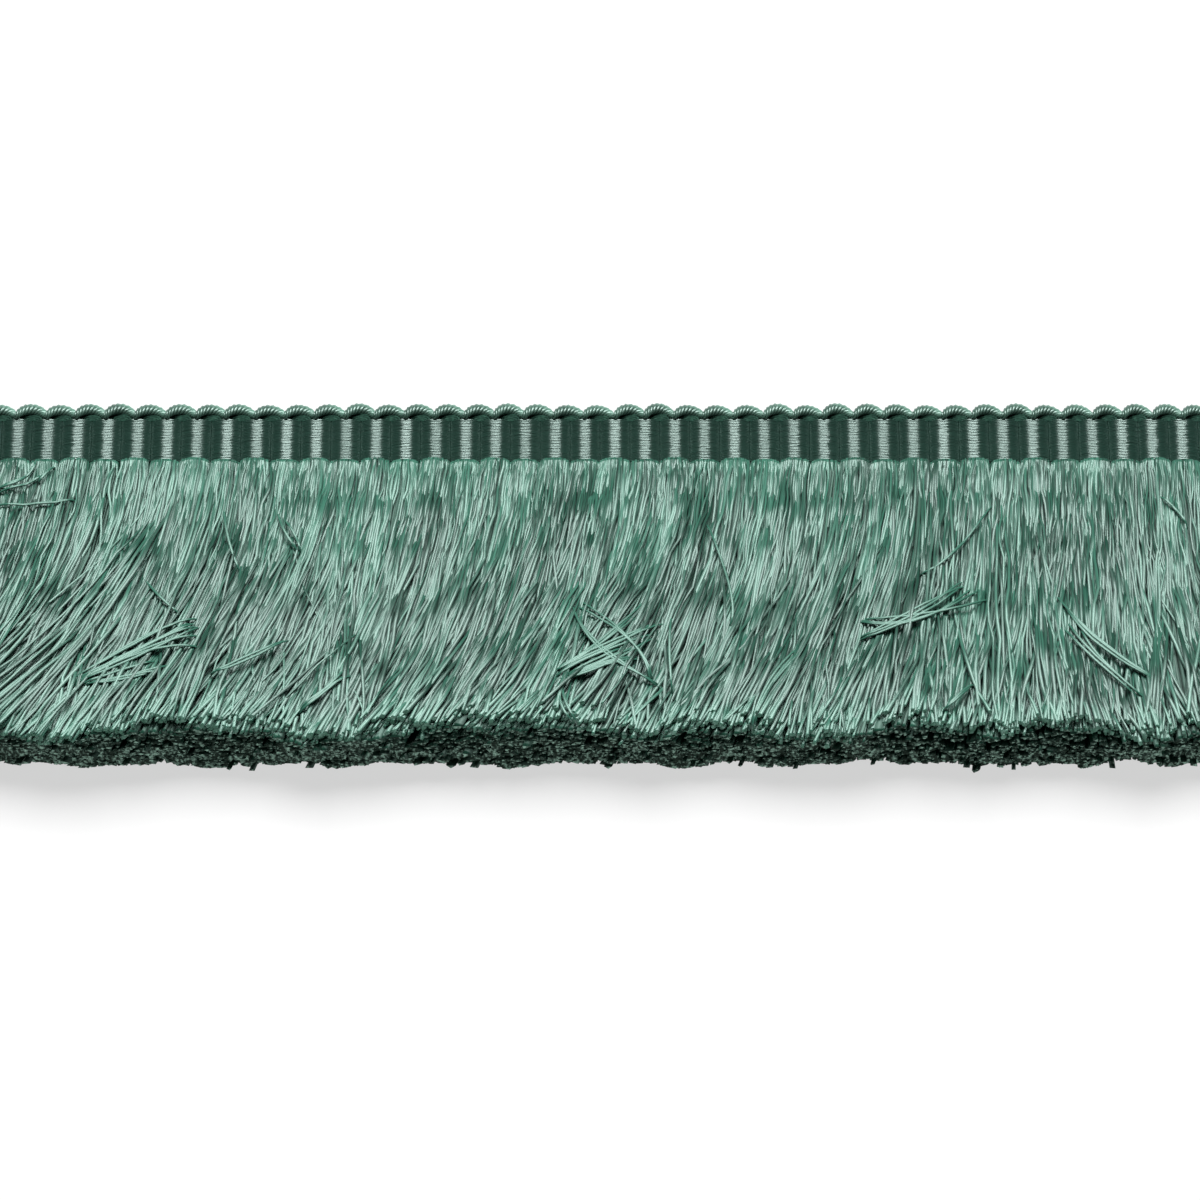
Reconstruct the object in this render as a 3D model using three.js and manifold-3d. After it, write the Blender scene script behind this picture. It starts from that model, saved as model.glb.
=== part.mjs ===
// A cut length of brush fringe trim in silky yarn, lying on its back. It has a ribbed woven heading, a
// scalloped cord along the heading's outer edge, and a dense cut brush along the other.
// Millimetres, +Z up. +X runs along the trim, +Y points from the brush to the scalloped edge, and z = 0 is
// the surface that it lies on. The origin is the middle of the heading's back, where it is sewn to a seam.
import * as THREE from "three";
import { mergeVertices } from "three/addons/utils/BufferGeometryUtils.js";
import Module from "manifold-3d";

// Driving dimensions
const RIB_PITCH = 2.88; // from one rib of the heading to the next
const RIB_COUNT = 44;
const HEADING_HEIGHT = 4.4; // of the ribbed band alone
const HEADING_CROWN = 1.5; // thickness over the top of a rib
const HEADING_VALLEY = 0.8; // thickness between two ribs
const PIECE_GAP = 0.3; // between two pieces that touch

const CORD_DIAMETER = 1; // plied edge cord
const CORD_RISE = 0.6; // how far its middle swings up in each scallop
const CORD_DEPTH_SWING = 0.3; // forward on the left of a scallop, back on the right
const CORD_ROUNDNESS = 0.75; // 0 gives a plain wave, 1 a wave with sharp valleys
const CORD_MIDDLE = 0.8; // height of the cord's middle over the surface

const BRUSH_LENGTH = 31.4; // from the heading to the cut ends
const ROOT_STRIP = 1.1; // the packed roots under the heading's edge
const ROOT_CROWN = 2.5; // thickness of the roots below a rib
const ROOT_VALLEY = 2.1;
const ROOT_BITE = 0.2; // how far a lock starts inside the strip
const LOCK_GAP = 0.28; // between two locks side by side
const CUT_UNEVEN = 0.7; // how far the cut wanders along the yarns
const TOP_UNEVEN = 0.5; // how far the top locks stand over or under each other at the cut
const ROOT_UNEVEN = 0.09; // how far the roots stand over or under each other

// Layers of locks, from the surface up. Low and high are heights at the roots and at the cut ends. The
// lowest layer comes down to the surface in its first step and rests on it from there to the cut.
const LAYERS = [
  { locks: 66, sides: 4, steps: 3, rootLow: 0.12, rootHigh: 0.55, cutLow: 0, cutHigh: 2.3, uneven: 0 },
  { locks: 88, sides: 4, steps: 3, rootLow: 0.8, rootHigh: 1.25, cutLow: 2.6, cutHigh: 4.9, uneven: 0 },
  { locks: 132, sides: 3, steps: 4, rootLow: 1.5, rootHigh: 2.05, cutLow: 5.2, cutHigh: 7.9, uneven: TOP_UNEVEN },
];

// How the brush leans at its cut ends, in degrees from straight down the trim, towards -X where positive.
// Each row is a place along the trim where the lean changes.
const LEAN = [
  { x: -64, degrees: 29 },
  { x: -44, degrees: 31 },
  { x: -22, degrees: 22 },
  { x: 2, degrees: 28 },
  { x: 17, degrees: 21 },
  { x: 30, degrees: 18 },
  { x: 42, degrees: 3 },
  { x: 52, degrees: -9 },
  { x: 64, degrees: -6 },
];

// Worked out from them
const TRIM_LENGTH = RIB_PITCH * RIB_COUNT;
const HEADING_TOP = HEADING_HEIGHT / 2;
const HEADING_FOOT = -HEADING_HEIGHT / 2;
const ROOT_TOP = HEADING_FOOT - PIECE_GAP;
const LOCK_START = ROOT_TOP - ROOT_STRIP + ROOT_BITE;
const CUT_Y = HEADING_FOOT - BRUSH_LENGTH;

const silk = (name, color, roughness) =>
  new THREE.MeshStandardMaterial({ name, color, roughness, metalness: 0 });
const headingSilk = silk("heading_silk", 0x3f6658, 0.45);
const cordSilk = silk("cord_silk", 0x4f7a6a, 0.45);
const brushSilk = silk("brush_silk", 0x6b927f, 0.5);

// The same sequence of numbers from 0 to 1 on every run.
function steadyRandom(seed) {
  let state = seed;
  return () => {
    state = (state * 1664525 + 1013904223) % 4294967296;
    return state / 4294967296;
  };
}

// A row of rounded ribs in section, on a flat back: x along the trim, y up from the surface.
function ribbedSection(crown, valley) {
  const half = RIB_PITCH / 2;
  const rise = crown - valley;
  const radius = (half * half + rise * rise) / (2 * rise);
  const sweep = Math.asin(half / radius);
  const section = new THREE.Shape();
  section.moveTo(-TRIM_LENGTH / 2, 0);
  section.lineTo(TRIM_LENGTH / 2, 0);
  section.lineTo(TRIM_LENGTH / 2, valley);
  for (let rib = RIB_COUNT - 1; rib >= 0; rib -= 1) {
    const middle = (rib + 0.5) * RIB_PITCH - TRIM_LENGTH / 2;
    section.absarc(middle, crown - radius, radius, Math.PI / 2 - sweep, Math.PI / 2 + sweep, false);
  }
  section.closePath();
  return section;
}

// That section made into a strip which runs down the trim from y = top.
function ribbedStrip(crown, valley, top, height, curveSegments) {
  const strip = new THREE.ExtrudeGeometry(ribbedSection(crown, valley), {
    depth: height,
    bevelEnabled: false,
    curveSegments,
  });
  strip.rotateX(Math.PI / 2);
  strip.translate(0, top, 0);
  return strip;
}

// The edge cord is tied down at each rib's crown. From there it goes up the front of a scallop, over the
// top between two ribs, and down behind it to the next crown. The trim is cut through two scallops' tops.
class ScallopPath extends THREE.Curve {
  getPoint(t, target = new THREE.Vector3()) {
    const turn = t * RIB_COUNT;
    const angle = 2 * Math.PI * (turn - 0.5);
    const lowest = HEADING_TOP + PIECE_GAP + CORD_DIAMETER / 2;
    return target.set(
      (turn - (CORD_ROUNDNESS * Math.sin(angle)) / (2 * Math.PI)) * RIB_PITCH - TRIM_LENGTH / 2,
      lowest + (CORD_RISE * (1 - Math.cos(angle))) / 2,
      CORD_MIDDLE + CORD_DEPTH_SWING * Math.sin(angle),
    );
  }
}

function edgeCord() {
  const stepsPerScallop = 6;
  const path = new ScallopPath();
  path.arcLengthDivisions = RIB_COUNT * 24;
  const section = new THREE.Shape();
  section.absarc(0, 0, CORD_DIAMETER / 2, 0, 2 * Math.PI, false);
  return new THREE.ExtrudeGeometry(section, {
    steps: RIB_COUNT * stepsPerScallop,
    extrudePath: path,
    curveSegments: 3,
  });
}

// The lean at the cut ends, in radians, for a lock that starts at x.
function leanAt(x) {
  const last = LEAN.length - 1;
  const row = THREE.MathUtils.clamp(LEAN.findIndex((r) => r.x >= x), 1, last);
  const [before, after] = [LEAN[row - 1], LEAN[row]];
  const share = THREE.MathUtils.smoothstep(x, before.x, after.x);
  return THREE.MathUtils.degToRad(THREE.MathUtils.lerp(before.degrees, after.degrees, share));
}

// One lock: a prism of the layer's number of sides, with each point moved from its place in the plain
// prism to its place in the brush. Its lean grows evenly along it, so it bends as an arc.
function lock(layer, x, halfWidth, uneven) {
  const prism = new THREE.CylinderGeometry(1, 1, 1, layer.sides, layer.steps, false, Math.PI / layer.sides);
  if (layer.sides === 3) prism.rotateY(Math.PI / layer.sides);
  prism.computeBoundingBox();
  const { min, max } = prism.boundingBox;
  const points = prism.getAttribute("position");
  const length = LOCK_START - CUT_Y - uneven.cut;
  for (let i = 0; i < points.count; i += 1) {
    const across = THREE.MathUtils.mapLinear(points.getX(i), min.x, max.x, -halfWidth, halfWidth);
    const along = THREE.MathUtils.mapLinear(points.getY(i), max.y, min.y, 0, 1);
    const up = THREE.MathUtils.mapLinear(points.getZ(i), min.z, max.z, 0, 1);
    const settle = layer.cutLow === 0 ? Math.min(1, along * layer.steps) : along;
    const low = THREE.MathUtils.lerp(layer.rootLow + uneven.root, layer.cutLow, settle);
    const high = THREE.MathUtils.lerp(layer.rootHigh + uneven.root, layer.cutHigh + uneven.top, along);
    const start = x + across;
    const drift = (Math.tan(leanAt(start)) * length * along * along) / 2;
    points.setXYZ(i, start - drift, LOCK_START - along * length, THREE.MathUtils.lerp(low, high, up));
  }
  return prism;
}

const wasm = await Module();
wasm.setup();

function toSolid(geometry) {
  const bare = geometry.clone();
  bare.deleteAttribute("normal");
  bare.deleteAttribute("uv");
  const merged = mergeVertices(bare, 1e-4);
  return new wasm.Manifold(
    new wasm.Mesh({
      numProp: 3,
      vertProperties: new Float32Array(merged.getAttribute("position").array),
      triVerts: new Uint32Array(merged.index.array),
    }),
  );
}

function toGeometry(solid) {
  const mesh = solid.getMesh();
  const geometry = new THREE.BufferGeometry();
  geometry.setAttribute("position", new THREE.BufferAttribute(new Float32Array(mesh.vertProperties), 3));
  geometry.setIndex(new THREE.BufferAttribute(new Uint32Array(mesh.triVerts), 1));
  geometry.computeVertexNormals();
  return geometry;
}

// The brush: layers of locks that stand apart all the way, joined only by the strip of packed roots.
function brush() {
  const random = steadyRandom(7);
  let solid = toSolid(ribbedStrip(ROOT_CROWN, ROOT_VALLEY, ROOT_TOP, ROOT_STRIP, 2));
  for (const layer of LAYERS) {
    const pitch = TRIM_LENGTH / layer.locks;
    for (let i = 0; i < layer.locks; i += 1) {
      const x = (i + 0.5) * pitch - TRIM_LENGTH / 2;
      const uneven = {
        cut: random() * CUT_UNEVEN,
        top: (random() - 0.5) * layer.uneven,
        root: (random() - 0.5) * ROOT_UNEVEN,
      };
      solid = solid.add(toSolid(lock(layer, x, (pitch - LOCK_GAP) / 2, uneven)));
    }
  }
  return toGeometry(solid);
}

function piece(name, geometry, material) {
  const mesh = new THREE.Mesh(geometry, material);
  mesh.name = name;
  return mesh;
}

const trim = new THREE.Group();
trim.add(
  piece(
    "ribbed_heading",
    ribbedStrip(HEADING_CROWN, HEADING_VALLEY, HEADING_TOP, HEADING_HEIGHT, 3),
    headingSilk,
  ),
  piece("scalloped_edge_cord", edgeCord(), cordSilk),
  piece("brush_skirt", brush(), brushSilk),
);

export default trim;
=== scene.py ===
import math

import bmesh
import bpy
import numpy as np
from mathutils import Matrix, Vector


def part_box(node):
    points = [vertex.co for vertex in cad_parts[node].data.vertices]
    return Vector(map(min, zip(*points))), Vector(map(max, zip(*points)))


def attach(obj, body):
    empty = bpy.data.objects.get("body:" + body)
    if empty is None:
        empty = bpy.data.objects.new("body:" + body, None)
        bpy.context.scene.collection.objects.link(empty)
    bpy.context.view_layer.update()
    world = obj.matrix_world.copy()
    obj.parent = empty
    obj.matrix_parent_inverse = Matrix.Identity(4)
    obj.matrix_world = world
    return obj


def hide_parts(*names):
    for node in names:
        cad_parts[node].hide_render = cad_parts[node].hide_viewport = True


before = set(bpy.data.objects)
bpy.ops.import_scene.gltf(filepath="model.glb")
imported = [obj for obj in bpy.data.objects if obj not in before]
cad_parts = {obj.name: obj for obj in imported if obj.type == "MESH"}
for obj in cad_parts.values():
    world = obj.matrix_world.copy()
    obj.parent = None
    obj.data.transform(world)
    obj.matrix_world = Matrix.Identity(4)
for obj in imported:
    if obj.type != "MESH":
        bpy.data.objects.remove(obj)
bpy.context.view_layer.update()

# The view. The trim lies on its back on a pale table. The camera looks down on it steeply from the brush's
# side, through a long lens, and takes in a little less than the trim's length.
MM = 0.001
VIEW_ELEVATION = math.radians(66)
VIEW_WIDTH = 114.1 * MM
LENS = 150
SENSOR = 36
AIM = Vector((0, -16.28, 0)) * MM

camera = bpy.data.objects.new("camera", bpy.data.cameras.new("camera"))
camera.data.lens = LENS
camera.data.sensor_width = SENSOR
camera.data.clip_start = 0.01
towards_camera = Vector((0, -math.cos(VIEW_ELEVATION), math.sin(VIEW_ELEVATION)))
camera.location = AIM + towards_camera * VIEW_WIDTH * LENS / SENSOR
camera.rotation_euler = (math.pi / 2 - VIEW_ELEVATION, 0, 0)
bpy.context.scene.collection.objects.link(camera)
bpy.context.scene.camera = camera
bpy.context.scene.view_settings.view_transform = "Standard"

# The table top: white acrylic lit from below, as product tables are, so that it stays white and the shadow
# under the cut ends stays soft and pale.
TABLE_SIZE = 3.0


def linear(hex_colour):
    """An sRGB hex colour such as "6f9c88" as the linear values that Blender's sockets hold."""
    channels = [int(hex_colour[i : i + 2], 16) / 255 for i in (0, 2, 4)]
    return [c / 12.92 if c <= 0.04045 else ((c + 0.055) / 1.055) ** 2.4 for c in channels] + [1.0]


def add(tree, kind, inputs=None, **settings):
    """A new node with its settings, and each input set to a value or linked from a socket."""
    new = tree.nodes.new("ShaderNode" + kind)
    for name, value in settings.items():
        setattr(new, name, value)
    for key, value in (inputs or {}).items():
        if isinstance(value, bpy.types.NodeSocket):
            tree.links.new(value, new.inputs[key])
        else:
            new.inputs[key].default_value = value
    return new


def blank_material(name):
    """A new material that has no nodes yet, and its node tree."""
    material = bpy.data.materials.new(name)
    material.use_nodes = True
    material.node_tree.nodes.clear()
    return material, material.node_tree


table_mesh = bmesh.new()
bmesh.ops.create_grid(table_mesh, x_segments=1, y_segments=1, size=TABLE_SIZE / 2)
table_data = bpy.data.meshes.new("table_top")
table_mesh.to_mesh(table_data)
table_mesh.free()
table = bpy.data.objects.new("table_top", table_data)
bpy.context.scene.collection.objects.link(table)

# Cast acrylic with a matt face: an even white that glows a little, with no clear reflection.
acrylic, tree = blank_material("white_acrylic")
surface = add(
    tree,
    "BsdfPrincipled",
    {
        "Base Color": linear("8a8a8a"),
        "Roughness": 0.7,
        "Specular IOR Level": 0.2,
        "Emission Color": linear("ffffff"),
        "Emission Strength": 0.618,
    },
)
add(tree, "OutputMaterial", {"Surface": surface.outputs["BSDF"]})
table_data.materials.append(acrylic)

# The light: one large soft box over the far side of the trim, and dim walls all round. Each yarn shines
# along the stretch that lies level.
KEY_ELEVATION = math.radians(60)
KEY_DISTANCE = 0.7
KEY_WIDTH = 0.54
KEY_DEPTH = 0.42
KEY_POWER = 10.8
WALL_STRENGTH = 0.06

key_light = bpy.data.objects.new("key_light", bpy.data.lights.new("key_light", "AREA"))
key_light.data.shape = "RECTANGLE"
key_light.data.size = KEY_WIDTH
key_light.data.size_y = KEY_DEPTH
key_light.data.energy = KEY_POWER
key_light.location = AIM + Vector((0, math.cos(KEY_ELEVATION), math.sin(KEY_ELEVATION))) * KEY_DISTANCE
key_light.rotation_euler = (KEY_ELEVATION - math.pi / 2, 0, 0)
bpy.context.scene.collection.objects.link(key_light)

walls = bpy.data.worlds.new("pale_walls")
walls.use_nodes = True
walls.node_tree.nodes["Background"].inputs["Color"].default_value = linear("ffffff")
walls.node_tree.nodes["Background"].inputs["Strength"].default_value = WALL_STRENGTH
bpy.context.scene.world = walls

# The ribbed heading: a narrow band woven of fine viscose warps that run along the trim, over ribs which are
# the bundles of yarn that go on to form the brush. The warps cover the ribs, front and back.
RIB_COUNT = 44
WARP_COUNT = 26
WARP_RADIUS = 0.125
WARP_UNEVEN = 0.016
RIB_CROWN = 1.42
RIB_VALLEY = 0.78
BACK_WAVE = 0.03
# Where a warp has its points within a rib, from 0 to 1: closest in the valleys, where it bends most.
FACE_POINTS = (0.012, 0.05, 0.14, 0.26, 0.38, 0.5, 0.62, 0.74, 0.86, 0.95, 0.988)
BACK_POINTS = (0.0, 0.33, 0.67)

heading_low, heading_high = (np.array(corner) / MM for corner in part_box("ribbed_heading"))
TRIM_LENGTH = heading_high[0] - heading_low[0]
RIB_PITCH = TRIM_LENGTH / RIB_COUNT
HEADING_TOP = heading_high[1]
HEADING_FOOT = heading_low[1]


def rib_height(x, crown, valley):
    """How high a row of round ribs stands at x, in mm."""
    half = RIB_PITCH / 2
    rise = crown - valley
    radius = (half * half + rise * rise) / (2 * rise)
    from_crown = np.mod(x + TRIM_LENGTH / 2, RIB_PITCH) - half
    return crown - radius + np.sqrt(radius * radius - from_crown * from_crown)


def unit(vectors):
    return vectors / np.linalg.norm(vectors, axis=-1, keepdims=True)


def yarn_piece(name, paths, radii, side, corners, materials, tones, cut_facing=None):
    """Joins many yarns into one mesh. Each yarn has a ring of points round every point of its path, and a
    face over each end. paths is in mm, and side is a direction across the yarns, one for all or one a point.
    materials are for the walls, the start faces and the end faces. tones say how light the yarns are, from
    0 to 1. cut_facing is the way that the end faces look, whichever way the yarns lean."""
    count, steps, _ = paths.shape
    along = unit(np.gradient(paths, axis=1))
    side = np.broadcast_to(side, paths.shape)
    side = unit(side - (side * along).sum(-1, keepdims=True) * along)
    up = np.cross(along, side)
    turn = 2 * math.pi * np.arange(corners) / corners
    ring = side[:, :, None] * np.cos(turn)[:, None] + up[:, :, None] * np.sin(turn)[:, None]
    radii = np.broadcast_to(radii, (count, steps))
    points = paths[:, :, None] + ring * radii[:, :, None, None]
    if cut_facing is not None:
        past = (points[:, -1] - paths[:, -1:]) @ cut_facing / (along[:, -1:] @ cut_facing)
        points[:, -1] -= past[..., None] * along[:, -1:]

    yarn, step, corner = np.meshgrid(
        np.arange(count), np.arange(steps - 1), np.arange(corners), indexing="ij"
    )
    base = (yarn * steps + step) * corners
    following = (corner + 1) % corners
    next_base = base + corners
    walls = np.stack([base + corner, base + following, next_base + following, next_base + corner], -1)
    first = np.arange(count)[:, None] * steps * corners
    starts = first + np.arange(corners)[::-1]
    ends = first + (steps - 1) * corners + np.arange(corners)

    data = bpy.data.meshes.new(name)
    faces = walls.reshape(-1, 4).tolist() + starts.tolist() + ends.tolist()
    data.from_pydata((points.reshape(-1, 3) * MM).tolist(), [], faces)
    smooth = np.ones(len(faces), bool)
    smooth[-2 * count :] = False
    data.polygons.foreach_set("use_smooth", smooth)
    for material in materials:
        data.materials.append(material)
    slots = np.repeat(np.arange(3, dtype=np.int32), (len(faces) - 2 * count, count, count))
    data.polygons.foreach_set("material_index", slots)

    # Two maps: one that follows each yarn in mm, for its twist, and one with a place of its own for each
    # yarn, for the bake.
    length = np.concatenate(
        [np.zeros((count, 1)), np.cumsum(np.linalg.norm(np.diff(paths, axis=1), axis=-1), axis=1)], axis=1
    )
    wall_u = np.stack([corner, corner + 1, corner + 1, corner], -1) / corners
    wall_step = np.stack([step, step, step + 1, step + 1], -1)
    wall_length = length[yarn[..., None], wall_step]
    columns = math.ceil(math.sqrt(count))
    rows = math.ceil(count / columns)
    cell = np.stack([np.arange(count) % columns, np.arange(count) // columns], -1)
    wall_v = wall_step / (steps - 1)
    yarn_cell = cell[yarn][..., None, :]
    bake = (yarn_cell + np.stack([0.06 + 0.88 * wall_u, 0.1 + 0.8 * wall_v], -1)) / (columns, rows)
    cap_turn = np.stack([np.cos(turn), np.sin(turn)], -1)
    cap_uv = 0.5 + 0.5 * cap_turn
    start_bake = (cell[:, None] + (0.06, 0.0) + cap_uv[::-1] * (0.88, 0.07) + (0, 0.01)) / (columns, rows)
    end_bake = (cell[:, None] + (0.06, 0.92) + cap_uv * (0.88, 0.07)) / (columns, rows)
    follow = np.stack([wall_u, wall_length], -1)
    start_follow = np.broadcast_to(cap_uv[::-1], (count, corners, 2))
    end_follow = np.broadcast_to(cap_uv, (count, corners, 2))
    for map_name, parts in (
        ("yarn", (follow, start_follow, end_follow)),
        ("OFBake", (bake, start_bake, end_bake)),
    ):
        layer = data.uv_layers.new(name=map_name)
        layer.data.foreach_set("uv", np.concatenate([p.reshape(-1) for p in parts]).astype(np.float32))
    tone = data.attributes.new("tone", "FLOAT", "POINT")
    tones = np.broadcast_to(tones, (count, steps))
    tone.data.foreach_set("value", np.repeat(tones.ravel(), corners).astype(np.float32))

    piece = bpy.data.objects.new(name, data)
    bpy.context.scene.collection.objects.link(piece)
    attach(piece, "root")
    return piece


def silky_yarn(name, dark, light, roughness, groove, gloss=1.0, lengthwise=0.8):
    """Viscose yarn: fine bright filaments laid side by side with hardly any twist. The filaments spread the
    gloss round the yarn and keep it narrow along the yarn. groove is the depth between two of them in mm,
    gloss is how strongly they shine, and lengthwise is how well they are aligned."""
    material, tree = blank_material(name)
    # Filaments run down the yarn, so the pattern is fine round the yarn and long along it. A real one is
    # 0.02 mm thick. They are drawn about three times as coarse, so that they show.
    filaments_round = 14.0
    filament_wave_mm = 2.5
    place = add(tree, "UVMap", uv_map="yarn")
    stretched = add(
        tree,
        "Mapping",
        {"Vector": place.outputs["UV"], "Scale": (filaments_round, 1 / filament_wave_mm, 1.0)},
    )
    filaments = add(tree, "TexNoise", {"Vector": stretched.outputs["Vector"], "Scale": 1.0, "Detail": 1.0})
    bump = add(tree, "Bump", {"Height": filaments.outputs[0], "Distance": groove * MM})
    # Dye takes a little unevenly along a yarn.
    dye_patch = 2 * MM
    tone = add(tree, "Attribute", attribute_name="tone")
    coordinates = add(tree, "TexCoord")
    uneven = add(tree, "TexNoise", {"Vector": coordinates.outputs["Object"], "Scale": 1 / dye_patch})
    spread = add(
        tree, "Math", {0: uneven.outputs[0], 1: 0.4, 2: tone.outputs["Fac"]}, operation="MULTIPLY_ADD"
    )
    shade = add(tree, "Math", {0: spread.outputs[0], 1: 0.2}, operation="SUBTRACT", use_clamp=True)
    colour = add(
        tree,
        "Mix",
        {"Factor": shade.outputs[0], "A": linear(dark), "B": linear(light)},
        data_type="RGBA",
    )
    # Viscose bends light by about 1.54. This is a little more, to match the shine of the bright filaments.
    round_the_yarn = add(tree, "Tangent", direction_type="UV_MAP", uv_map="yarn")
    surface = add(
        tree,
        "BsdfPrincipled",
        {
            "Base Color": colour.outputs["Result"],
            "Roughness": roughness,
            "IOR": 1.65,
            "Specular IOR Level": gloss,
            "Specular Tint": linear("e6fff7"),
            "Anisotropic": lengthwise,
            "Tangent": round_the_yarn.outputs["Tangent"],
            "Normal": bump.outputs["Normal"],
        },
    )
    add(tree, "OutputMaterial", {"Surface": surface.outputs["BSDF"]})
    return material


def cut_fibres(name, dark, light):
    """Viscose fibres seen from their ends, as where a yarn is cut, or tucked away out of sight. Light goes in
    between them, so they have hardly any gloss. dark is the colour of most of the ends and light that of the
    pale patches among them."""
    material, tree = blank_material(name)
    # Single fibre ends are too fine to show, so their grain is drawn as coarse as a few of them together.
    grain_size = MM / 12
    grain_depth = 0.03 * MM
    coordinates = add(tree, "TexCoord")
    grain = add(tree, "TexNoise", {"Vector": coordinates.outputs["Object"], "Scale": 1 / grain_size})
    bump = add(tree, "Bump", {"Height": grain.outputs[0], "Distance": grain_depth})
    # Most ends are dark and a few are pale, in upright patches a third of a millimetre wide. The pale patches
    # are painted light, for ends that catch the light.
    patch_width = MM / 3
    upright = add(tree, "Mapping", {"Vector": coordinates.outputs["Object"], "Scale": (1, 1, 0.4)})
    end_speckle = add(tree, "TexNoise", {"Vector": upright.outputs["Vector"], "Scale": 1 / patch_width})
    contrast = add(tree, "MapRange", {0: end_speckle.outputs[0], 1: 0.45, 2: 0.68})
    colour = add(
        tree,
        "Mix",
        {"Factor": contrast.outputs["Result"], "A": linear(dark), "B": linear(light)},
        data_type="RGBA",
    )
    surface = add(
        tree,
        "BsdfPrincipled",
        {
            "Base Color": colour.outputs["Result"],
            "Roughness": 0.9,
            "Specular IOR Level": 0.1,
            "Normal": bump.outputs["Normal"],
        },
    )
    add(tree, "OutputMaterial", {"Surface": surface.outputs["BSDF"]})
    return material


heading_yarn = silky_yarn("heading_warp_viscose", "142a23", "1c382f", 0.355, 0.008)
cut_ends = cut_fibres("cut_fibre_ends", "23342b", "a3cab8")

# The bundles inside the ribs, as one core that fills the band between its front and back warps. It stops
# a little short of them on every side.
CORE_SHORT = 0.2
CORE_CROWN = RIB_CROWN - 0.18
CORE_VALLEY = RIB_VALLEY - 0.12
CORE_BACK = 0.12
core = bmesh.new()
bmesh.ops.create_grid(core, x_segments=RIB_COUNT * 8, y_segments=1, size=0.5)
for vert in core.verts:
    x = vert.co.x * (TRIM_LENGTH - CORE_SHORT)
    y = vert.co.y * (HEADING_TOP - HEADING_FOOT - CORE_SHORT)
    vert.co = Vector((x, y, float(rib_height(np.array(x), CORE_CROWN, CORE_VALLEY)))) * MM
core_walls = bmesh.ops.extrude_face_region(core, geom=core.faces[:])
for part in core_walls["geom"]:
    if isinstance(part, bmesh.types.BMVert):
        part.co.z = CORE_BACK * MM
bmesh.ops.recalc_face_normals(core, faces=core.faces[:])
core_data = bpy.data.meshes.new("heading_rib_core")
core.to_mesh(core_data)
core.free()
core_data.materials.append(cut_ends)
rib_core = bpy.data.objects.new("heading_rib_core", core_data)
bpy.context.scene.collection.objects.link(rib_core)
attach(rib_core, "root")

random = np.random.default_rng(11)


def ripple(x, y, seed):
    """Smooth uneven waves from -1 to 1: steady random heights on a grid, eased from one to the next."""
    heights = np.random.default_rng(seed).uniform(-1, 1, (64, 64))
    x, y = np.broadcast_arrays(x, y)
    x0, y0 = np.floor(x).astype(int), np.floor(y).astype(int)
    u, v = x - x0, y - y0
    u, v = u * u * (3 - 2 * u), v * v * (3 - 2 * v)
    row0 = heights[x0 % 64, y0 % 64] * (1 - v) + heights[x0 % 64, (y0 + 1) % 64] * v
    row1 = heights[(x0 + 1) % 64, y0 % 64] * (1 - v) + heights[(x0 + 1) % 64, (y0 + 1) % 64] * v
    return row0 * (1 - u) + row1 * u


def heading_warps(name, count, places, height, unevenness):
    """A set of warps side by side, each running the trim's whole length at the height that is given. places
    are where each has its points within a rib, from 0 to 1."""
    ribs = np.arange(RIB_COUNT)[:, None]
    x = np.append((ribs + np.array(places)[None, :]).ravel(), RIB_COUNT) * RIB_PITCH - TRIM_LENGTH / 2
    steps = len(x)
    y = np.linspace(HEADING_TOP - WARP_RADIUS, HEADING_FOOT + WARP_RADIUS, count)
    # Each warp has a row of its own in the waves, far enough from the next to be unlike it.
    warp = np.arange(count)[:, None] * 5.3
    paths = np.empty((count, steps, 3))
    paths[..., 0] = x
    paths[..., 1] = y[:, None] + unevenness * ripple(x / 1.1, warp, 21)
    # Over a rib each warp bends a little before or after its neighbour, so its shine starts there.
    on_rib = np.sin(math.pi * (x + TRIM_LENGTH / 2) / RIB_PITCH) ** 2
    shift = 12 * unevenness * on_rib * ripple(x / 1.6, warp, 23)
    paths[..., 2] = height(x + shift)
    paths[..., 2] += unevenness * ripple(x / 0.7, warp, 22)
    tones = random.uniform(0.2, 0.8, (count, 1))
    return yarn_piece(name, paths, WARP_RADIUS, (0, 1, 0), 5, [heading_yarn, cut_ends, cut_ends], tones)


face_warps = heading_warps(
    "heading_face_warps",
    WARP_COUNT,
    FACE_POINTS,
    lambda x: rib_height(x, RIB_CROWN, RIB_VALLEY),
    WARP_UNEVEN,
)
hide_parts("ribbed_heading")
back_warps = heading_warps(
    "heading_back_warps",
    WARP_COUNT,
    BACK_POINTS,
    lambda x: WARP_RADIUS + BACK_WAVE * (1 + np.cos(2 * math.pi * x / RIB_PITCH)),
    WARP_UNEVEN / 3,
)

# The edge cord: five plies of the same viscose, twisted together. It is tied down at each rib's crown and
# arches over the space between two ribs. It leaves each crown high and droops over the top of the scallop.
CORD_LOWEST = HEADING_TOP + 0.12
CORD_RISE = 1.12
CORD_SWING = 0.37
CORD_ROUNDNESS = 0.85
CORD_HEIGHT = 1.15
CORD_PINCH = 0.5
CORD_UNEVEN = 0.1
PLY_RADIUS = 0.23
PLY_OFFSET = 0.37
PLY_COUNT = 5
PLY_PITCH = 2.2
CORD_STEPS = 24

# The cord's light colour serves mostly for its painted highlight over the scallops.
cord_yarn = silky_yarn("edge_cord_viscose", "12251e", "6f9988", 0.36, 0.012, gloss=0.75, lengthwise=0.4)
# The bundle turns are coloured a dark matt green: painted shade under the scallops.
bundle_fibres_painted_shade = cut_fibres("rib_bundle_viscose_painted_shade", "1c362d", "2b4a3e")


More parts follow.
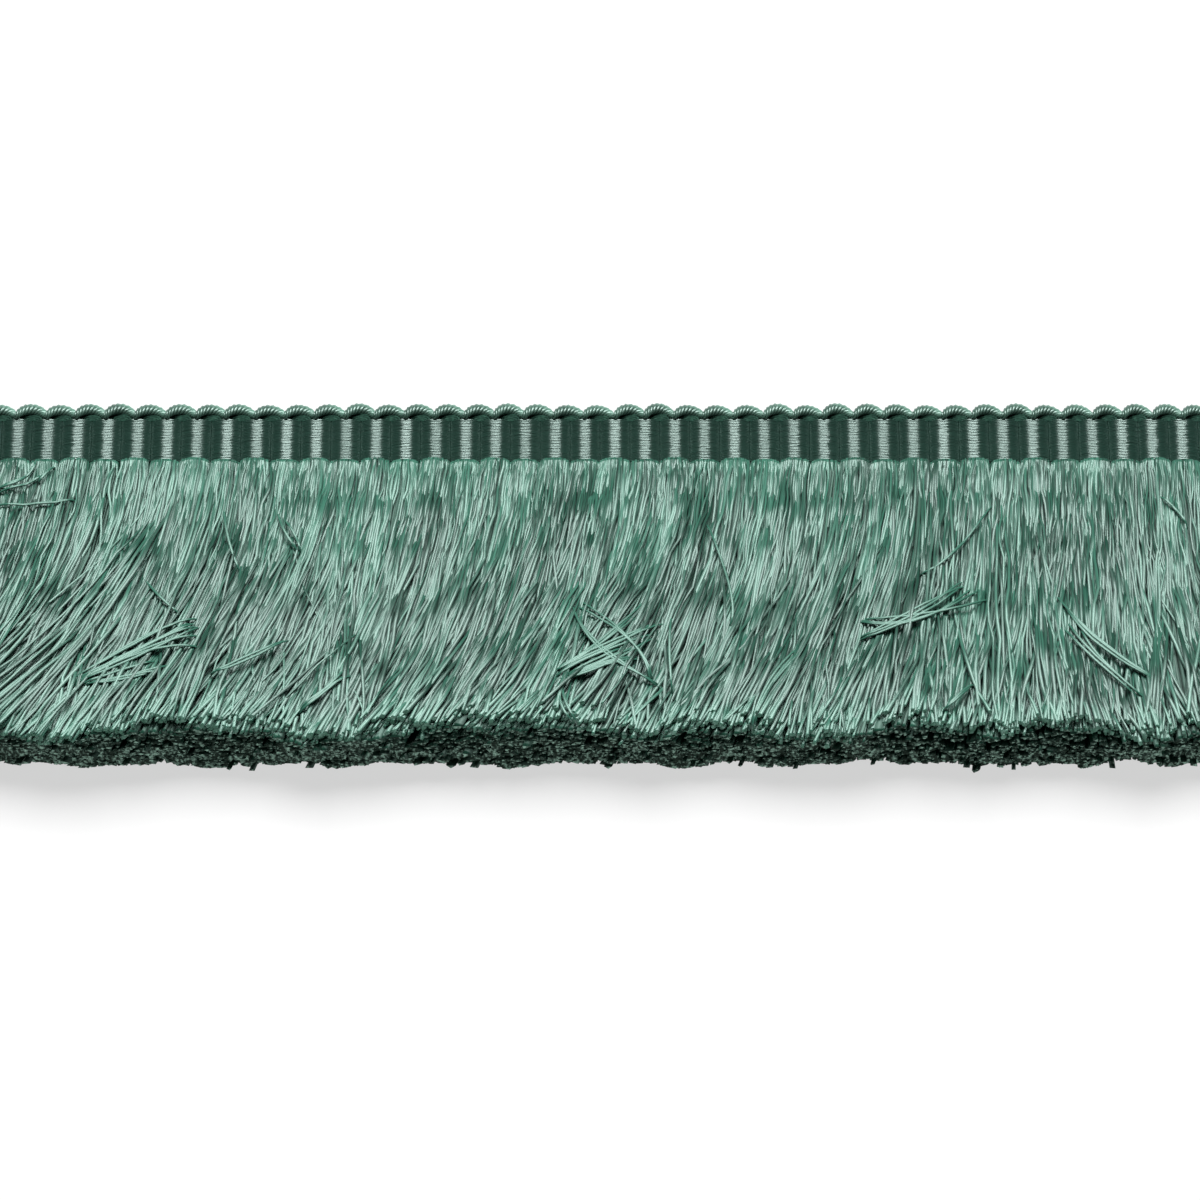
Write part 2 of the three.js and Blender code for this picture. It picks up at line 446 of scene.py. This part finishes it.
def edge_cord_line(turn):
    """The middle of the cord, in mm. Each whole turn is the top of one scallop."""
    angle = 2 * math.pi * (turn - 0.5)
    x = (turn - CORD_ROUNDNESS * np.sin(angle) / (2 * math.pi)) * RIB_PITCH - TRIM_LENGTH / 2
    x = x + CORD_UNEVEN * ripple(turn, 0, 31)
    y = CORD_LOWEST + CORD_RISE * (1 + CORD_UNEVEN * ripple(turn, 0, 32)) * (1 - np.cos(angle)) / 2
    z = CORD_HEIGHT + CORD_SWING * (np.cos(angle) + np.sin(angle))
    return np.stack([x, y, z], -1)


cord_turns = np.linspace(0, RIB_COUNT, RIB_COUNT * CORD_STEPS + 1)
middle = edge_cord_line(cord_turns)
cord_length = np.concatenate([[0], np.cumsum(np.linalg.norm(np.diff(middle, axis=0), axis=-1))])
forward = unit(np.gradient(middle, axis=0))
across = unit(np.cross(forward, (0, 0, 1)))
over = np.cross(across, forward)
# The tie at each crown draws the cord in.
fullness = CORD_PINCH + (1 - CORD_PINCH) * (1 - np.cos(2 * math.pi * (cord_turns - 0.5))) / 2
# The side of each ply that faces the light is painted paler over the top of each scallop: a painted
# highlight.
scallop_painted_highlight = np.maximum(0, np.cos(2 * math.pi * (cord_turns - 0.12)))
ply_paths, ply_sides, ply_tones_painted_highlight = [], [], []
for ply in range(PLY_COUNT):
    angle = 2 * math.pi * (cord_length / PLY_PITCH + ply / PLY_COUNT)
    outward = across * np.cos(angle)[:, None] + over * np.sin(angle)[:, None]
    ply_paths.append(middle + outward * PLY_OFFSET * fullness[:, None])
    ply_sides.append(outward)
    ply_tones_painted_highlight.append(0.25 + 0.6 * scallop_painted_highlight * np.clip(outward[:, 1] + 0.3, 0, 1))
edge_cord = yarn_piece(
    "scalloped_edge_plies",
    np.array(ply_paths),
    PLY_RADIUS * fullness,
    np.array(ply_sides),
    6,
    [cord_yarn, cut_ends, cut_ends],
    np.array(ply_tones_painted_highlight),
)
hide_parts("scalloped_edge_cord")

# The turns of the rib bundles under the scallops: at the edge each bundle turns round in a low flat loop and
# goes back into the next rib. The loops lie one inside another, coloured dark and matt as painted shade under
# the cord.
TURN_RADIUS = 0.17
TURNS_A_RIB = 5
TURN_INSET = 0.1
TURN_SPACING = 0.24
TURN_START = HEADING_TOP - 0.15
TURN_REACH = 1.15
TURN_SQUARENESS = 0.4
TURN_HEIGHT = 0.72
TURN_STEP_UP = 0.05
turn_place = np.linspace(0, math.pi, 9)
turn_paths = []
for rib in range(1, RIB_COUNT):
    for turn in range(TURNS_A_RIB):
        half = RIB_PITCH / 2 - TURN_INSET - TURN_SPACING * turn
        reach = TURN_REACH - TURN_SPACING * turn
        x = rib * RIB_PITCH - TRIM_LENGTH / 2 - half * np.cos(turn_place)
        y = TURN_START + reach * np.abs(np.sin(turn_place)) ** TURN_SQUARENESS
        turn_paths.append(np.stack([x, y, np.full_like(x, TURN_HEIGHT + TURN_STEP_UP * turn)], -1))
bundle_turns = yarn_piece(
    "rib_bundle_turns", np.array(turn_paths), TURN_RADIUS, (0, 0, 1), 4, [bundle_fibres_painted_shade] * 3, 0.3
)
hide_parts("scalloped_edge_cord")

# The brush: the rib bundles' own soft viscose yarns, which come out at the heading's lower edge, fold over in
# a small round lobe for each rib, and are cut across at the other end. They lie in many layers, lean as they
# were combed, and gather in locks.
YARN_RADIUS = 0.14
BRUSH_LENGTH = 31.4
ROOT_CROWN = 1.95
ROOT_VALLEY = 1.6
CUT_THICKNESS = 8.1
CUT_SWELL = 0.4
SPREAD_POWER = 1.1
HILL_HEIGHT = 0.38
FOLD_HEIGHT = 0.22
CUT_DROOP = 0.4
LOBE_GATHER = 0.1
LOBE_CURVE = 0.18
LOBE_STEP = 0.15
SWAY = 1.0
YARN_WANDER = 0.36
YARN_LIFT = 0.38
CUT_WAVE = 0.4
CUT_RIPPLE = 0.2
CUT_GROOVE = 0.3
SHEAR_WAVER = 0.8
FACE_PAST_CUT = 0.2
STRAY_SHARE = 0.02
STRAY_LENGTH = 0.6
LEAN = (
    # place along the trim in mm, and degrees at the cut ends towards -X
    (-64, 29),
    (-44, 31),
    (-22, 22),
    (2, 28),
    (17, 21),
    (30, 18),
    (42, 3),
    (52, -9),
    (64, -6),
)
ROOT_LEAN = math.radians(3)
# The brush is made in four quarters, so that no mesh is too heavy.
QUARTERS = [(i + 1, (i / 4 - 0.5) * TRIM_LENGTH, (i / 4 - 0.25) * TRIM_LENGTH) for i in range(4)]

brush_yarn = silky_yarn("brush_viscose", "1a3e32", "3a6c5b", 0.4, 0.01, gloss=0.82, lengthwise=0.96)
# The inner yarns get a duller, slightly darker copy of the brush viscose: painted shade for the depth of the
# brush.
inner_yarn_painted_shade = silky_yarn("brush_inner_viscose_painted_shade", "17392d", "356453", 0.48, 0.01, gloss=0.45, lengthwise=0.94)
# The face yarns' cut faces are painted pale: painted light.
face_cut_ends_painted_light = cut_fibres("face_cut_fibre_ends_painted_light", "63947f", "93c2b0")


def lean_at(x):
    """The lean at the cut ends for a yarn rooted at x, in radians, eased from one row to the next."""
    places, degrees = np.array(LEAN).T
    row = np.clip(np.searchsorted(places, x), 1, len(places) - 1)
    share = np.clip((x - places[row - 1]) / (places[row] - places[row - 1]), 0, 1)
    share = share * share * (3 - 2 * share)
    return np.radians(degrees[row - 1] * (1 - share) + degrees[row] * share)


def brush_top(root, along):
    """How high the brush stands, in mm. It folds up from its roots, swells evenly in soft hills and hollows,
    and droops a little at the cut."""
    in_rib = np.mod(root + TRIM_LENGTH / 2, RIB_PITCH) / RIB_PITCH * 2 - 1
    root_top = ROOT_VALLEY + (ROOT_CROWN - ROOT_VALLEY) * (1 - in_rib**2)
    cut_top = CUT_THICKNESS + CUT_SWELL * ripple(root / 6.5, 0, 7)
    hills = HILL_HEIGHT * ripple(root / 4.8, along * 3.6, 8) * np.minimum(1, along * 5) * (1.3 - along)
    fold = FOLD_HEIGHT * np.exp(-along / 0.06) - 0.06 * np.exp(-along / 0.01)
    droop = CUT_DROOP * np.clip(along / 0.1 - 9, 0, 1) ** 2
    return root_top + (cut_top - root_top) * along**SPREAD_POWER + hills + fold - droop


def brush_paths(root, depth, along, wander, drift):
    """Paths for yarns rooted at root along the trim, at a depth from 0, the face, to 1, the back, at each
    place from 0, the root, to 1, the cut. They lie side by side as they were combed, except that each is
    moved over by its drift, and wanders."""
    root, depth = root[:, None], depth[:, None]
    along = along[None, :]
    in_rib = np.mod(root + TRIM_LENGTH / 2, RIB_PITCH) / RIB_PITCH * 2 - 1
    # Each rib's yarns start a little closer together than they go on.
    gathered = root - in_rib * LOBE_GATHER * RIB_PITCH / 2 * (1 - depth) * np.exp(-along / 0.05)

    # Along the trim: straight down at the root, then over towards the lean at the cut.
    lean = math.tan(ROOT_LEAN) * along * BRUSH_LENGTH
    lean = lean + (np.tan(lean_at(root)) - math.tan(ROOT_LEAN)) * BRUSH_LENGTH * along**2 / 2
    sway = SWAY * ripple(root / 5.5, along * 1.1 + depth * 3, 1) * along**1.2
    own = random.uniform(0, 64, root.shape)
    loose = wander * np.minimum(1, along * 16)
    x = gathered - lean + sway + drift + loose * YARN_WANDER * ripple(own, along * 10, 3)

    # Down the trim: each yarn is short of the full length by a little, so the cut is uneven.
    tip = x[:, -1:]
    every_other = np.mod(np.floor((root + TRIM_LENGTH / 2) / RIB_PITCH), 2)
    start = HEADING_FOOT - 0.02 - (1 - depth) * (LOBE_CURVE * np.abs(in_rib) ** 4 + LOBE_STEP * every_other)
    short = CUT_WAVE * (1 + ripple(tip / 4.1, depth * 2, 5)) + CUT_RIPPLE * ripple(tip / 1.1, depth * 3, 6)
    # A groove runs just under the face.
    short = short + CUT_GROOVE * np.exp(-(((depth - 0.18) / 0.12) ** 2))
    # The shears wavered, most of all at the face.
    waver = SHEAR_WAVER * ripple(tip / 4.6, 0, 15) - FACE_PAST_CUT
    short = short + waver * np.clip(1 - depth / 0.6, 0, 1)
    # Neighbours differ a little, and one yarn in fifty stands out past the others.
    short = short + (1 - depth) * random.uniform(0, 0.25, root.shape)
    short = short - STRAY_LENGTH * (random.uniform(0, 1, root.shape) < STRAY_SHARE)
    y = start - (BRUSH_LENGTH - short + start - HEADING_FOOT) * along

    z = YARN_RADIUS + (brush_top(root, along) - 2 * YARN_RADIUS) * (1 - depth)
    z = z + loose * YARN_LIFT * ripple(own + 20, along * 11, 4)
    return np.stack(np.broadcast_arrays(x, y, z), -1)


def brush_piece(name, paths, along, tones, radius, corners, materials, cut_facing, opened):
    """One layer of the brush as a mesh. The yarns open slowly along the brush. At the cut each one's
    thickness is multiplied by a number between the two in opened. Each is turned its own way about its
    length, and none goes below the table."""
    count, steps, _ = paths.shape
    thickness = 0.9 + 0.3 * np.broadcast_to(along, (count, steps))
    thickness[:, -2:] = random.uniform(*opened, (count, 1))
    thickness[:, -3] = thickness[:, -2] * 0.3 + 0.8
    turned = random.uniform(0, 2 * math.pi, count)
    side = np.stack([np.cos(turned), 0 * turned, np.sin(turned)], -1)[:, None]
    radii = radius * random.uniform(0.7, 1.4, count)[:, None] * thickness
    paths[..., 2] = np.maximum(paths[..., 2], radii)
    piece = yarn_piece(name, paths, radii, side, corners, materials, tones, cut_facing)
    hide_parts("brush_skirt")


# The face yarns lie in small locks. Each lock has its own lean, bend and height, so the locks cross over one
# another and leave dark gaps. Their cut ends face up a little; they and the last stretch of each yarn are
# painted pale, as painted light at the cut.
FACE_ALONG = np.array(
    [0, 0.01, 0.03, 0.07, 0.12, 0.17, 0.22, 0.27, 0.33, 0.39, 0.45]
    + [0.51, 0.57, 0.63, 0.69, 0.75, 0.81, 0.87, 0.92, 0.96, 0.994, 1.0]
)
FACE_YARNS = 720
LOCKS = 110
LOCK_DEPTH = 0.17
LOCK_LEAN = 9
LOCK_LEAN_MOST = 20
LOCK_WIDTH = 0.42
LOCK_WIDTH_MOST = 1.1
LOCK_RISE = 0.5
LOCK_SHORT = 1.4
LOOSE_SHARE = 0.18
FACE_CUT_FACING = np.array([0, -0.88, 0.47])
for quarter, low, high in QUARTERS:
    lock_root = random.uniform(low, high, LOCKS)
    lock_depth = random.uniform(0, LOCK_DEPTH, LOCKS)
    lock_lean = np.clip(random.normal(0, LOCK_LEAN, LOCKS), -LOCK_LEAN_MOST, LOCK_LEAN_MOST)
    lock_power = random.uniform(1.7, 3.0, LOCKS)
    lock_gather = random.uniform(0.3, 1.3, LOCKS)
    lock_rise = random.uniform(0, 64, LOCKS)
    lock_tone = random.normal(0.5, 0.2, LOCKS)
    lock_short = random.uniform(0, 1, LOCKS) ** 2

    lock = random.integers(0, LOCKS, FACE_YARNS)
    offset = np.clip(random.normal(0, LOCK_WIDTH, FACE_YARNS), -LOCK_WIDTH_MOST, LOCK_WIDTH_MOST)
    root = np.clip(lock_root[lock] + offset, low, high)
    depth = np.clip(lock_depth[lock] + random.uniform(-0.03, 0.03, FACE_YARNS), 0, 0.2)
    loose = random.uniform(0, 1, FACE_YARNS) < LOOSE_SHARE
    degrees = lock_lean[lock] + random.normal(0, 3, FACE_YARNS) * np.where(loose, 4, 1)
    # The yarns at the trim's two ends stay with their neighbours.
    most = 4 + 2 * (TRIM_LENGTH / 2 - np.abs(root))
    degrees = np.clip(degrees, -most, most)
    bend = lock_power[lock][:, None]
    drift = np.tan(np.radians(degrees))[:, None] * BRUSH_LENGTH * FACE_ALONG**bend / bend
    drift = drift + offset[:, None] * (lock_gather[lock][:, None] - 1) * FACE_ALONG**1.3
    paths = brush_paths(root, depth, FACE_ALONG, 1.0, drift)
    tip = paths[:, -1, 0]
    short = LOCK_SHORT * lock_short[lock] + 0.5 * (1 + ripple(tip / 2.6, 0, 13)) * (depth < 0.1)
    short = short + random.uniform(0, 0.2, FACE_YARNS)
    paths[..., 1] += short[:, None] * FACE_ALONG
    rise = LOCK_RISE * np.minimum(1, FACE_ALONG * 6)
    paths[..., 2] += rise * ripple(lock_rise[lock][:, None], FACE_ALONG * 5, 12)
    # The last stretch of each face yarn is painted paler: painted light at the cut.
    tones = (lock_tone[lock] + random.normal(0, 0.2, FACE_YARNS))[:, None] + 0.6 * (FACE_ALONG > 0.95)
    tones = tones + 0.3 * ripple(root[:, None] / 3.6, FACE_ALONG * 3.2, 14) - 0.25 * FACE_ALONG
    name = f"brush_face_yarns_{quarter}"
    materials = [brush_yarn, face_cut_ends_painted_light, face_cut_ends_painted_light]
    brush_piece(name, paths, FACE_ALONG, tones, YARN_RADIUS, 4, materials, FACE_CUT_FACING, (0.9, 1.5))

# The inner yarns fill the brush from the face layer to the back. They lie closer to the common lean, and
# their cut ends make the dark band below the face.
INNER_ALONG = np.array([0, 0.04, 0.35, 0.75, 0.99, 1.0])
INNER_YARNS = 1550
INNER_RADIUS = 1.15 * YARN_RADIUS
INNER_WANDER = 0.4
INNER_LEAN = 2.5
INNER_CUT_FACING = np.array([0, -1, 0])
for quarter, low, high in QUARTERS:
    root = random.uniform(low, high, INNER_YARNS)
    depth = 0.1 + 0.9 * random.uniform(0, 1, INNER_YARNS) ** 0.75
    degrees = random.normal(0, INNER_LEAN, INNER_YARNS)[:, None]
    drift = np.tan(np.radians(degrees)) * BRUSH_LENGTH * INNER_ALONG**1.4 / 1.4
    paths = brush_paths(root, depth, INNER_ALONG, INNER_WANDER, drift)
    # Towards the back the last stretch is darker, as it lies in the brush's own shade.
    shade = np.clip(depth / 0.4 - 0.4, 0, 1)[:, None] * (INNER_ALONG > 0.9)
    tones = random.normal(0.4, 0.15, INNER_YARNS)[:, None] - 0.5 * shade
    name = f"brush_inner_yarns_{quarter}"
    materials = [inner_yarn_painted_shade, inner_yarn_painted_shade, cut_ends]
    brush_piece(name, paths, INNER_ALONG, tones, INNER_RADIUS, 3, materials, INNER_CUT_FACING, (1.4, 2.5))

# Wisps: single yarns and thin bundles that were combed out of line and lie over the face. The yarns of a
# bundle draw together towards its cut end.
WISPS = (
    # number of yarns, then start, middle and end: place along the trim and distance below the heading, in mm
    (3, (-53.7, 1.1), (-55.1, 2.7), (-57.8, 3.8)),
    (1, (-51.9, 1.9), (-52.8, 2.6), (-53.5, 3.1)),
    (1, (-49.8, 5.2), (-54, 5.4), (-57.8, 5.6)),
    (1, (-43.3, 13.4), (-42.3, 16.3), (-39.4, 18)),
    (1, (-35.8, 5.6), (-34.9, 9.7), (-33.9, 13.4)),
    (2, (-31, 7.1), (-29.6, 9.4), (-28.4, 11.1)),
    (9, (-37, 19.2), (-42.3, 21.6), (-49, 25.4)),
    (4, (-40.4, 23.9), (-44.2, 25), (-47.9, 25.6)),
    (2, (-29.8, 21.2), (-33.2, 23.5), (-36.2, 24.5)),
    (3, (-23.4, 24.5), (-25.5, 26.4), (-27.9, 28.8)),
    (8, (5.3, 18.6), (-0.5, 22.7), (-4.3, 24.5)),
    (6, (3.8, 21.5), (0, 23.5), (-3.3, 25.2)),
    (2, (-2.5, 16.3), (0.2, 21.8), (5.7, 25.7)),
    (2, (-2.5, 16.5), (2.6, 21), (4.7, 25.3)),
    (2, (-3.5, 25.8), (-3.2, 28.3), (-2.1, 29.8)),
    (1, (6.6, 17.7), (6.7, 22.1), (6.7, 26.8)),
    (1, (9.6, 7.6), (12.2, 15.6), (12.1, 19.7)),
    (3, (19.4, 21), (15.9, 25.9), (14, 30.4)),
    (1, (37.6, 4.7), (33.8, 10.3), (29.9, 13.6)),
    (3, (34.6, 14.6), (29.5, 18.3), (24, 20.6)),
    (3, (35.8, 15.3), (30, 18.6), (24, 18.5)),
    (3, (43.3, 16), (46.3, 21), (52.6, 25.8)),
    (3, (43.9, 18.6), (46.2, 22.7), (50.7, 27.5)),
    (2, (34.8, 26.5), (33.3, 27.7), (31.7, 28.8)),
    (1, (53.4, 4.7), (54.8, 6.3), (55.8, 8.2)),
)
WISP_APART = 0.3
WISP_LIFT = 0.45
# t runs from 0 at a wisp's start to 1 at its end.
t = np.linspace(0, 1, 14)[:, None]
wisp_paths = []
for yarns, first, middle, last in WISPS:
    for _ in range(yarns):
        apart = random.normal(0, 0.12 + 0.06 * yarns, 2)
        ends = [
            np.array(point) + spread * (apart + random.normal(0, WISP_APART, 2))
            for point, spread in ((first, 1.4), (middle, 0.8), (last, 0.4))
        ]
        flat = ends[0] * (1 - t) * (1 - 2 * t) + 4 * ends[1] * t * (1 - t) + ends[2] * t * (2 * t - 1)
        x, down = flat.T
        lift = WISP_LIFT + 0.15 * np.sin(math.pi * t[:, 0]) - 0.9 * np.abs(2 * t[:, 0] - 1) ** 8
        top = brush_top(x, down / BRUSH_LENGTH) + lift
        wisp_paths.append(np.stack([x, HEADING_FOOT - down, top], -1))
wisp_radii = YARN_RADIUS * (0.45 + 0.55 * np.sin(math.pi * t[:, 0]) ** 0.5)
# The wisps get a paler tone than most face yarns: painted light, as they lie on top in the light.
wisps = yarn_piece("brush_wisps", np.array(wisp_paths), wisp_radii, (0, 0, 1), 5, [brush_yarn] * 3, 0.8)
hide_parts("brush_skirt")
